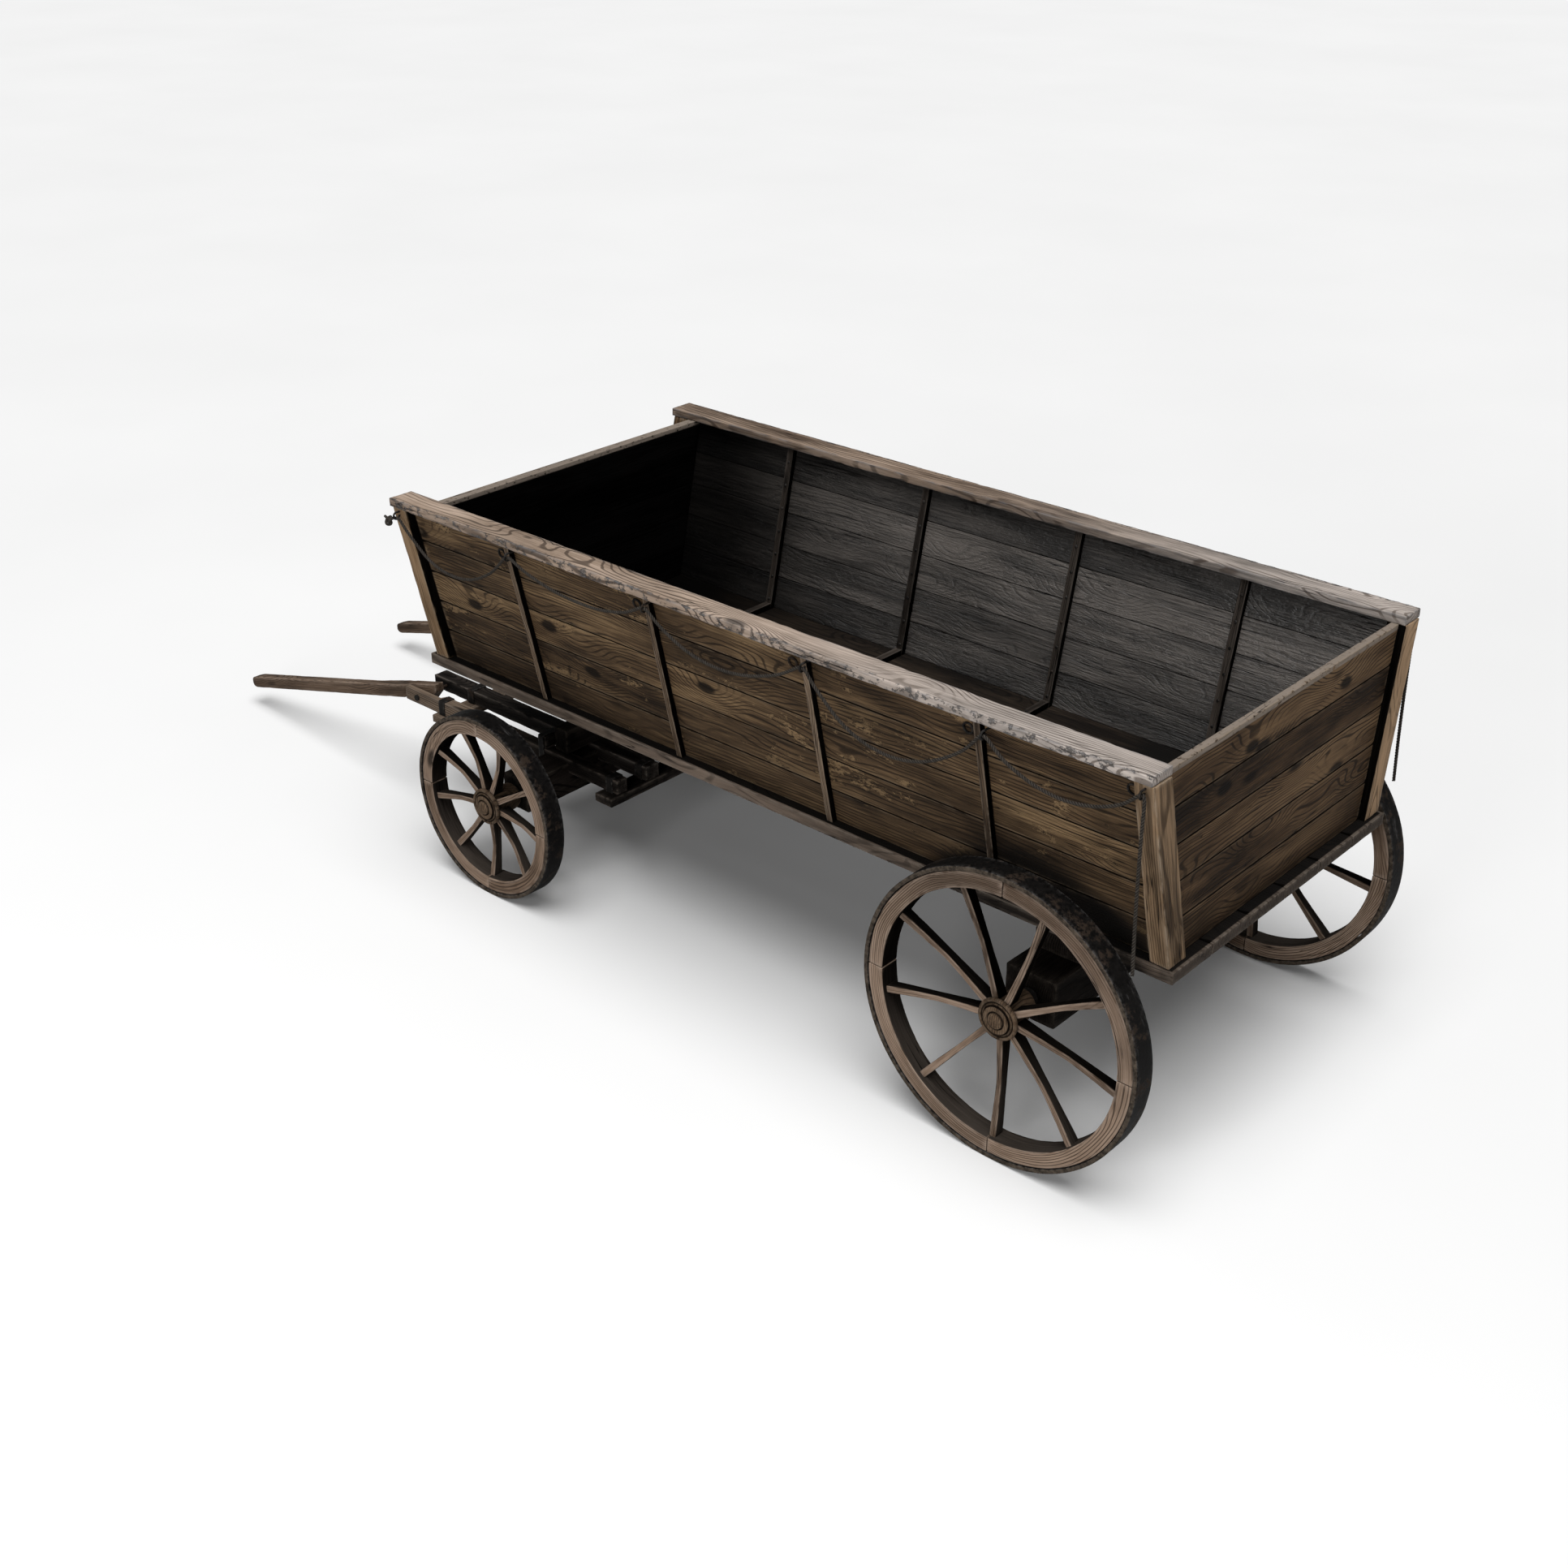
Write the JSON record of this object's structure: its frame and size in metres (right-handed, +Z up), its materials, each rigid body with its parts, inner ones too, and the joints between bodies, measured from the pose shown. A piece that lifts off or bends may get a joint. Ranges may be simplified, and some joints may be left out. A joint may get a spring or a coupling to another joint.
{
  "type": "farm wagon",
  "caption": "Four-wheeled wooden wagon with a flared plank box, iron-tyred spoked wheels, a steerable front carriage and two drooping draft shafts",
  "frame": {"origin": "on the ground under the middle of the bounding box, draft shafts included", "axes": "+X forward towards the draft shafts, +Y to the wagon's left, +Z up"},
  "size_m": [5.511, 1.813, 1.635],
  "materials": {
    "plank_wood": "weathered",
    "frame_wood": "weathered",
    "wheel_wood": "weathered",
    "strap_iron": "rusted",
    "tyre_iron": "worn",
    "rope_fibre": "twisted"
  },
  "bodies": {
    "wagon_body": {"floor_boards": "plank_wood", "floor_bearers": "frame_wood", "side_planks_left": "plank_wood", "side_planks_right": "plank_wood", "tailboard_planks": "plank_wood", "headboard_planks": "plank_wood", "rear_posts": "frame_wood", "front_posts": "frame_wood", "side_stakes": "frame_wood", "cap_rail_left": "frame_wood", "cap_rail_right": "frame_wood", "inner_ribs": "frame_wood", "rib_nails": "strap_iron", "rope_hooks": "strap_iron", "rope_left": "rope_fibre", "rope_right": "rope_fibre", "rear_axle_block": "frame_wood", "rear_bolster": "frame_wood", "rear_axle": "strap_iron", "rear_linchpins": "strap_iron", "body_bolster": "frame_wood", "turntable_upper_plate": "strap_iron", "kingpin": "strap_iron", "kingpin_nut": "strap_iron"},
    "front_carriage": {"turntable_lower_plate": "strap_iron", "front_bolster": "frame_wood", "front_axle_block": "frame_wood", "front_axle_arms": "strap_iron", "front_linchpins": "strap_iron", "frame_side_bar_left": "frame_wood", "frame_side_bar_right": "frame_wood", "frame_inner_bar_left": "frame_wood", "frame_inner_bar_right": "frame_wood", "frame_front_plank": "frame_wood", "frame_rear_plank": "frame_wood", "frame_middle_bar": "frame_wood", "frame_straps": "strap_iron", "shaft_pins": "strap_iron"},
    "draft_shaft_left": {"draft_shaft_left": "frame_wood"},
    "draft_shaft_right": {"draft_shaft_right": "frame_wood"},
    "rear_left_wheel": {"rear_left_tyre": "tyre_iron", "rear_left_felloes": "wheel_wood", "rear_left_spokes": "wheel_wood", "rear_left_nave": "wheel_wood", "rear_left_nave_cap": "wheel_wood"},
    "rear_right_wheel": {"rear_right_tyre": "tyre_iron", "rear_right_felloes": "wheel_wood", "rear_right_spokes": "wheel_wood", "rear_right_nave": "wheel_wood", "rear_right_nave_cap": "wheel_wood"},
    "front_left_wheel": {"front_left_tyre": "tyre_iron", "front_left_felloes": "wheel_wood", "front_left_spokes": "wheel_wood", "front_left_nave": "wheel_wood", "front_left_nave_cap": "wheel_wood"},
    "front_right_wheel": {"front_right_tyre": "tyre_iron", "front_right_felloes": "wheel_wood", "front_right_spokes": "wheel_wood", "front_right_nave": "wheel_wood", "front_right_nave_cap": "wheel_wood"}
  },
  "joints": [
    {"name": "front_carriage_steer", "type": "hinge", "parent": "wagon_body", "child": "front_carriage", "pos_m": [0.4325, 0, 0.6225], "axis": [0, 0, 1], "range_deg": [-40, 40]},
    {"name": "draft_shaft_left_lift", "type": "hinge", "parent": "front_carriage", "child": "draft_shaft_left", "pos_m": [1.3725, 0.4255, 0.4675], "axis": [0, -1, 0], "range_deg": [-3.5, 32]},
    {"name": "draft_shaft_right_lift", "type": "hinge", "parent": "front_carriage", "child": "draft_shaft_right", "pos_m": [1.3725, -0.4255, 0.4675], "axis": [0, -1, 0], "range_deg": [-3.5, 32]},
    {"name": "rear_left_wheel_spin", "type": "hinge", "parent": "wagon_body", "child": "rear_left_wheel", "pos_m": [-2.1935, 0.81, 0.562], "axis": [0, 1, 0], "continuous": true},
    {"name": "rear_right_wheel_spin", "type": "hinge", "parent": "wagon_body", "child": "rear_right_wheel", "pos_m": [-2.1935, -0.81, 0.562], "axis": [0, 1, 0], "continuous": true},
    {"name": "front_left_wheel_spin", "type": "hinge", "parent": "front_carriage", "child": "front_left_wheel", "pos_m": [0.4325, 0.81, 0.407], "axis": [0, 1, 0], "continuous": true},
    {"name": "front_right_wheel_spin", "type": "hinge", "parent": "front_carriage", "child": "front_right_wheel", "pos_m": [0.4325, -0.81, 0.407], "axis": [0, 1, 0], "continuous": true}
  ]
}
